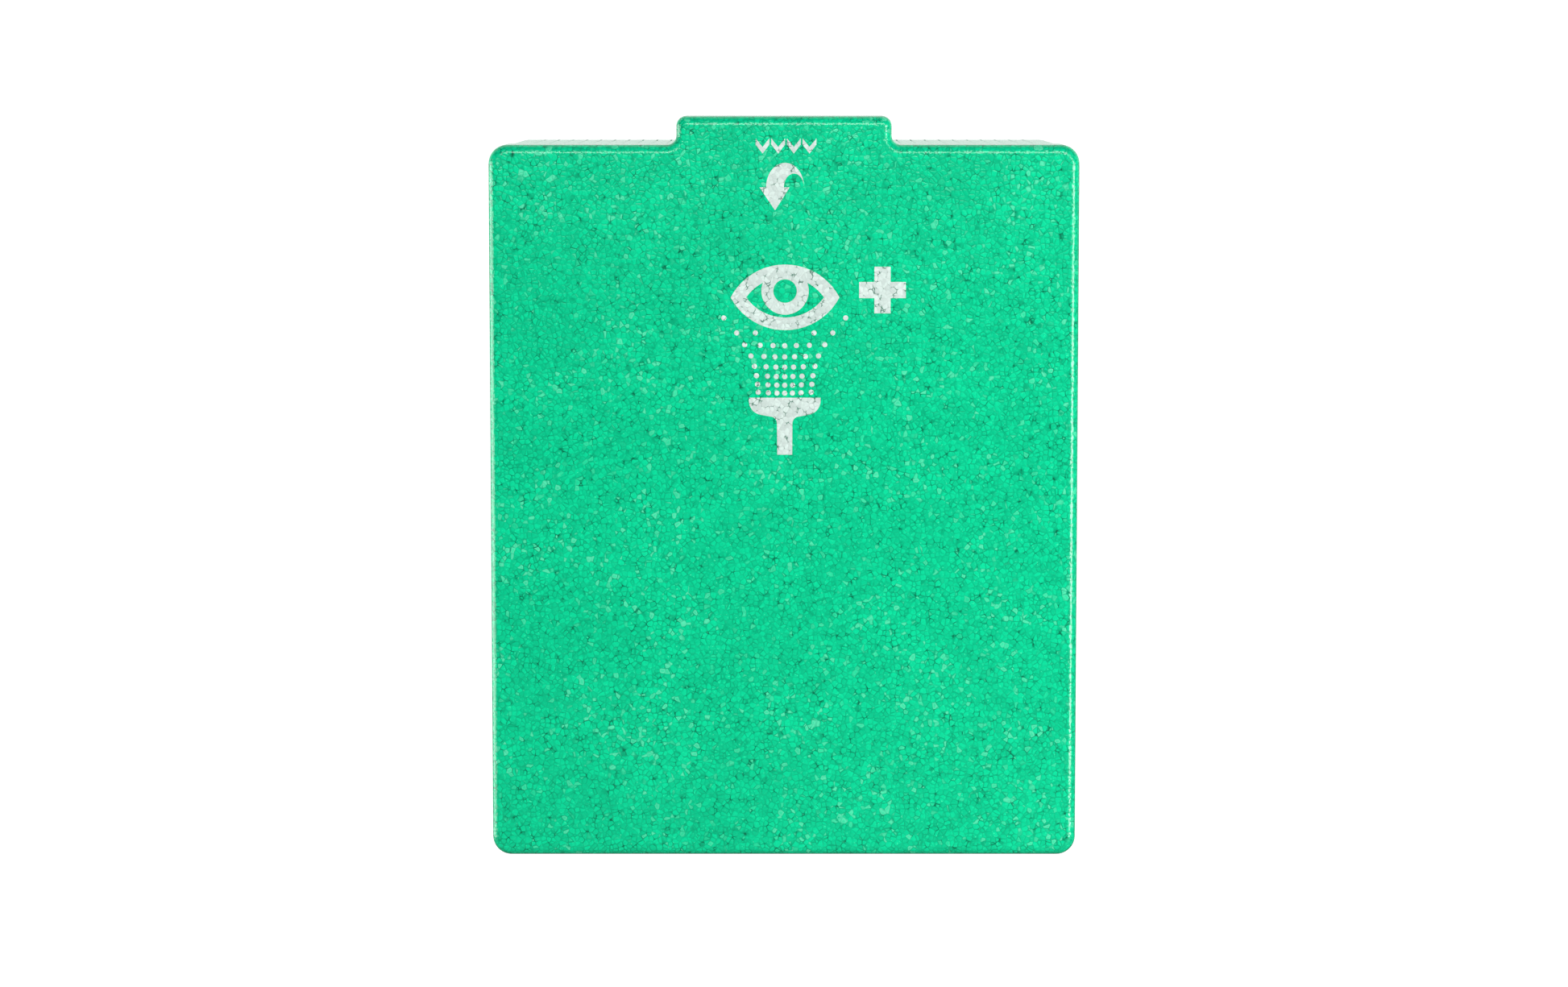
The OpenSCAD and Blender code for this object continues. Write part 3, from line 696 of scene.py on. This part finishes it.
def add_turn_arrow(bm, x, z, s=1.0):
    """Arrow that swings over from a pointed tail and points down; x, z is the arc's middle."""
    steps = 24
    outer, inner = [], []
    for k in range(steps + 1):
        a = math.pi * k / steps
        outer.append((x + s * 8.07 * math.cos(a), z + s * 10.4 * math.sin(a)))
        inner.append((x + s * (3.78 + 4.3 * math.cos(a)), z + s * 5.85 * math.sin(a)))
    for k in range(steps):
        quad = [outer[k], outer[k + 1], inner[k + 1], inner[k]]
        add_outline(bm, quad[1:] if k == 0 else quad)
    head = [(-10.85, 0), (-4.25, -9.8), (1.95, 0)]
    add_outline(bm, [(x + s * px, z + s * pz) for px, pz in head])


def add_chevrons(bm, x, z, count):
    """Row of chevrons that point down."""
    shape = [(-2.9, 3.2), (-2.9, 0.6), (0, -3.2), (2.9, 0.6), (2.9, 3.2), (0, -0.4)]
    for k in range(count):
        middle = x + 6.6 * (k - (count - 1) / 2)
        add_outline(bm, [(middle + px, z + pz) for px, pz in shape])


def raise_print(bm, thickness):
    """Turns flat faces up and gives them the thickness of a print."""
    bmesh.ops.remove_doubles(bm, verts=bm.verts, dist=CUT_SNAP)
    bmesh.ops.recalc_face_normals(bm, faces=bm.faces)
    for face in bm.faces:
        if face.normal.z < 0:
            face.normal_flip()
    lifted = bmesh.ops.extrude_face_region(bm, geom=bm.faces, use_keep_orig=True)["geom"]
    bmesh.ops.translate(bm, verts=new_verts(lifted), vec=(0, 0, thickness))
    bmesh.ops.recalc_face_normals(bm, faces=bm.faces)


def finish_print(name, bm, material, y, facing, thickness=THIN_PRINT):
    """Lays a flat drawing on the cover's plane y; facing is 1 to the rear, -1 to the front."""
    bmesh.ops.scale(bm, vec=(MM, MM, MM), verts=bm.verts)
    raise_print(bm, thickness)
    turn = Matrix.Rotation(math.radians(-90 * facing), 4, "X")
    bmesh.ops.transform(bm, verts=bm.verts, matrix=Matrix.Translation((0, y, 0)) @ turn)
    piece = finish_mesh(name, bm, material)
    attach(piece, "cover")


def make_cover_print():
    """White screen print on the front: eye, spray and cross, and the sign to pull the tab down."""
    x, size = 0.45, 0.993        # heights are above the cabinet's foot
    iris_skin, print_skin = 1.0 * PRINT_SKIN, 0.8 * PRINT_SKIN
    prints = {
        "print_eyelids": lambda bm: add_eyelids(bm, x, 239.6, size),
        "print_iris": lambda bm: add_iris(bm, x, 239.6, size),
        "print_cross": lambda bm: add_cross(bm, 41.7, 242.7, size),
        "print_drops": lambda bm: add_drops(bm, x - 0.15, 199.4, size),
        "print_spray_head": lambda bm: add_spray_head(bm, x - 0.15, 197.0, size),
        "print_turn_arrow": lambda bm: add_turn_arrow(bm, x, 286.1, size),
        "print_chevrons": lambda bm: add_chevrons(bm, x + 0.4, 303.5, 4),
    }
    for name, draw in prints.items():
        bm = bmesh.new()
        draw(bm)
        thickness = iris_skin if name == "print_iris" else print_skin
        finish_print(name, bm, ink, FACE_Y, -1, thickness)


# ---- Instruction card ----

def add_frame(bm, x, z, half_w, half_h, r, line):
    """Line frame with rounded corners."""
    def outline(shrink):
        w, h, q = half_w - shrink, half_h - shrink, r - shrink
        points = []
        for start, sx, sz in ((0, 1, 1), (90, -1, 1), (180, -1, -1), (270, 1, -1)):
            points += arc(x + sx * (w - q), z + sz * (h - q), q, start, start + 90, 6)
        return points

    add_band(bm, outline(0), outline(line))


def add_bottle_sign(bm, x, z, s=1.0):
    """Outline of a bottle: shoulders, neck and cap."""
    half = [(7, -14), (7, 5), (6, 8), (3.5, 9.5), (3.5, 11), (5.5, 11), (5.5, 16)]
    add_outline(bm, [(x + px * s, z + pz * s) for px, pz in half]
                + [(x - px * s, z + pz * s) for px, pz in reversed(half)])


def turned(shape, x, z, degrees):
    """A shape turned anticlockwise about its own origin, which goes to x, z."""
    c, t = math.cos(math.radians(degrees)), math.sin(math.radians(degrees))
    return [(x + c * px - t * pz, z + t * px + c * pz) for px, pz in shape]


def add_arrow(bm, x, z, length, degrees):
    """Straight arrow from its tail at x, z."""
    neck = length - 4.5
    shape = [(0, -1.1), (neck, -1.1), (neck, -3.2), (length, 0), (neck, 3.2), (neck, 1.1), (0, 1.1)]
    add_outline(bm, turned(shape, x, z, degrees))


def add_swing_sign(bm, x, z):
    """Side view of the cabinet with its cover hanging open."""
    add_frame(bm, x + 7, z + 2, 8, 14, 2, 1.8)
    flap = [(0, 0), (24, 0), (24, 3), (0, 3)]
    add_outline(bm, turned(flap, x - 1, z - 11, 205))
    add_arrow(bm, x - 6, z + 13, 15, 232)


def add_twist_sign(bm, x, z):
    """Bottle with its cap turned off."""
    add_bottle_sign(bm, x, z - 4, 0.95)
    add_turn_arrow(bm, x + 1, z + 14.5, 0.55)


def add_rinse_sign(bm, x, z):
    """Eye over the spray from a held bottle."""
    add_eyelids(bm, x, z + 10, 0.55)
    add_iris(bm, x, z + 10, 0.5)
    for row in range(3):
        for k in range(-2, 3):
            add_disc(bm, x + k * (2.0 + 0.5 * row), z - 4.5 + 2.8 * row, 0.7, 10)
    add_spray_head(bm, x, z - 7.5, 0.5)


def make_card_print():
    """Picture signs on the card, the right way up for someone in front of the hanging cover."""
    middle = -(card_lo.z + card_hi.z) / 2 / MM
    pitch = 58
    y = card_hi.y
    signs = {"swing": add_swing_sign, "twist": add_twist_sign, "rinse": add_rinse_sign}
    for row, (name, draw) in enumerate(signs.items()):
        height = middle + pitch * (1 - row)
        bm = bmesh.new()
        add_frame(bm, 0, height, 36, 26, 4, 1.2)
        finish_print(f"card_frame_{name}", bm, symbol_green, y, 1)
        bm = bmesh.new()
        draw(bm, 0, height)
        finish_print(f"card_sign_{name}", bm, symbol_green, y, 1)
    for row in range(len(signs)):
        bm = bmesh.new()
        for n in range(row + 1):
            add_disc(bm, -52 + 5 * (n - row / 2), middle + pitch * (1 - row), 1.9, 20)
        finish_print(f"card_step_{row + 1}", bm, symbol_green, y, 1)


# ---- Bottles ----

def make_cap(side):
    """The dust cap's CAD solid with a ribbed grip and a sunk top, and two turning arrows on it."""
    node = f"dust_cap_{side}"
    lo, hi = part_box(node)
    middle = (lo + hi) / 2
    bm = merged_copy(node)
    grip_lo, grip_hi = lo.z + 8 * MM, lo.z + 36 * MM
    for z in (grip_lo, grip_hi):
        slice_faces(bm, bm.faces[:], (0, 0, z), (0, 0, 1))
    bm.normal_update()

    def from_axis(face):
        """The centre of a face as seen from the cap's axis."""
        centre = face.calc_center_median()
        return centre.x - middle.x, centre.y - middle.y, centre.z

    def on_grip(face):
        x, y, z = from_axis(face)
        outermost = math.hypot(x, y) > hi.x - middle.x - 0.5 * MM
        return outermost and grip_lo < z < grip_hi and abs(face.normal.z) < 0.05

    def turn_of(face):
        x, y, _ = from_axis(face)
        return math.atan2(y, x)

    wall = sorted((f for f in bm.faces if on_grip(f)), key=turn_of)
    bmesh.ops.inset_individual(bm, faces=wall[::2], thickness=0.35 * MM, depth=0.7 * MM)
    level_faces = [f for f in bm.faces if f.normal.z > 0.99]
    top = max(level_faces, key=lambda f: f.calc_center_median().z)
    bmesh.ops.inset_individual(bm, faces=[top], thickness=2.5 * MM, depth=0)
    bmesh.ops.inset_individual(bm, faces=[top], thickness=0.5 * MM, depth=-TOP_SUNK)
    cap = finish_mesh(f"ribbed_cap_{side}", bm, FINISHES["cap_plastic"])
    shade_by_angle(cap)
    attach(cap, f"cap_{side}")
    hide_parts(node)
    make_cap_arrows(side, middle, hi.z - TOP_SUNK)


def make_cap_arrows(side, middle, z):
    """Two curved arrows round the cap's top, in the direction that undoes it."""
    bm = bmesh.new()

    def vertex(r, degrees):
        a = math.radians(degrees)
        return bm.verts.new((r * MM * math.cos(a), r * MM * math.sin(a), 0))

    shaft, head = 95, 27
    for start in (10, 190):
        rail = [vertex(13.0, start), vertex(16.0, start)]
        edge = bm.edges.new(rail)
        bmesh.ops.spin(bm, geom=[*rail, edge], cent=(0, 0, 0), axis=(0, 0, 1),
                       angle=math.radians(shaft), steps=16)
        neck = start + shaft
        bm.faces.new([vertex(10.8, neck), vertex(18.2, neck), vertex(14.5, neck + head)])
    raise_print(bm, THIN_PRINT)
    bmesh.ops.translate(bm, verts=bm.verts, vec=(middle.x, middle.y, z))
    arrows = finish_mesh(f"cap_arrows_{side}", bm, cap_white)
    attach(arrows, f"cap_{side}")


def wrap_print(name, draw, side, thickness=LABEL_PRINT):
    """Bends a flat drawing in millimetres round the front of a bottle's label."""
    lo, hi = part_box(f"bottle_label_{side}")
    middle = (lo + hi) / 2
    r = hi.x - middle.x
    bm = bmesh.new()
    draw(bm)
    reach = max(abs(v.co.x) for v in bm.verts)
    strip, snap = 2, 1e-5
    x = -math.floor(reach / strip) * strip
    while x < reach:
        bmesh.ops.bisect_plane(bm, geom=bm.verts[:] + bm.edges[:] + bm.faces[:],
                               plane_co=(x, 0, 0), plane_no=(1, 0, 0), dist=snap)
        x += strip
    bmesh.ops.scale(bm, vec=(MM, MM, MM), verts=bm.verts)
    raise_print(bm, thickness)
    for v in bm.verts:
        a = v.co.x / r
        out = r + v.co.z
        v.co = (middle.x + out * math.sin(a), middle.y - out * math.cos(a), lo.z + v.co.y)
    piece = finish_mesh(f"{name}_{side}", bm, symbol_green)
    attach(piece, f"bottle_{side}")


def make_label_print(side):
    """The eye, spray and cross on a bottle's label, between two bands and two rows of boxes."""
    def bands(bm):
        for low, high in ((77.5, 86.5), (1.5, 6.5)):
            add_outline(bm, [(-100, low), (100, low), (100, high), (-100, high)])

    def boxes(bm):
        for x in (-44, 44):
            for z in (24, 40, 56):
                add_frame(bm, x, z, 13, 6, 1.5, 0.6)

    wrap_print("label_bands", bands, side)
    wrap_print("label_boxes", boxes, side)
    wrap_print("label_eyelids", lambda bm: add_eyelids(bm, -7, 55, 0.75), side)
    wrap_print("label_iris", lambda bm: add_iris(bm, -7, 55, 0.75), side, THIN_PRINT)
    wrap_print("label_drops", lambda bm: add_drops(bm, -7, 26, 0.72), side)
    wrap_print("label_spray_head", lambda bm: add_spray_head(bm, -7, 24.5, 0.62), side)
    wrap_print("label_cross", lambda bm: add_cross(bm, 19, 57, 0.7), side)


# ---- Screw heads ----

def make_screws(node, name, body, normal):
    """The CAD screws with a cross recess in each head."""
    normal = Vector(normal)
    side = Vector((1, 0, 0))
    up = normal.cross(side)
    bm = merged_copy(node)
    level = max(v.co.dot(normal) for v in bm.verts)
    arm, half_w, depth, head_r = 1.9 * MM, 0.4 * MM, 0.7 * MM, 6 * MM

    def head_faces():
        return [f for f in bm.faces
                if all(abs(v.co.dot(normal) - level) < FLUSH for v in f.verts)]

    def in_cross(face, centre):
        gap = face.calc_center_median() - centre
        a, b = abs(gap.dot(side)), abs(gap.dot(up))
        return max(a, b) < arm and min(a, b) < 0.75 * half_w

    for centre in [f.calc_center_median() for f in head_faces()]:
        for across in (side, up):
            for reach in (-arm, -half_w, half_w, arm):
                head = [f for f in head_faces()
                        if (f.calc_center_median() - centre).length < head_r]
                slice_faces(bm, head, centre + across * reach, across)
        recess = [f for f in head_faces() if in_cross(f, centre)]
        moved = bmesh.ops.extrude_face_region(bm, geom=recess)["geom"]
        bmesh.ops.translate(bm, verts=new_verts(moved), vec=-normal * depth)
        bmesh.ops.delete(bm, geom=[f for f in recess if f.is_valid], context="FACES_ONLY")
    screws = finish_mesh(name, bm, FINISHES["zinc_steel"])
    shade_by_angle(screws)
    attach(screws, body)
    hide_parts(node)


make_camera()
make_studio()
make_floor()
dress_cad_nodes()
make_cover()
make_body()
make_cover_print()
make_card_print()
for side in SIDES:
    make_cap(side)
    make_label_print(side)
make_screws("plate_screws", "cross_plate_screws", "cabinet", (0, 1, 0))
make_screws("inlet_screws", "cross_inlet_screws", "cabinet", (0, 0, -1))
make_screws("body_leaf_screws", "cross_body_leaf_screws", "cabinet", (0, 0, -1))
make_screws("cover_leaf_screws", "cross_cover_leaf_screws", "cover", (0, 0, -1))
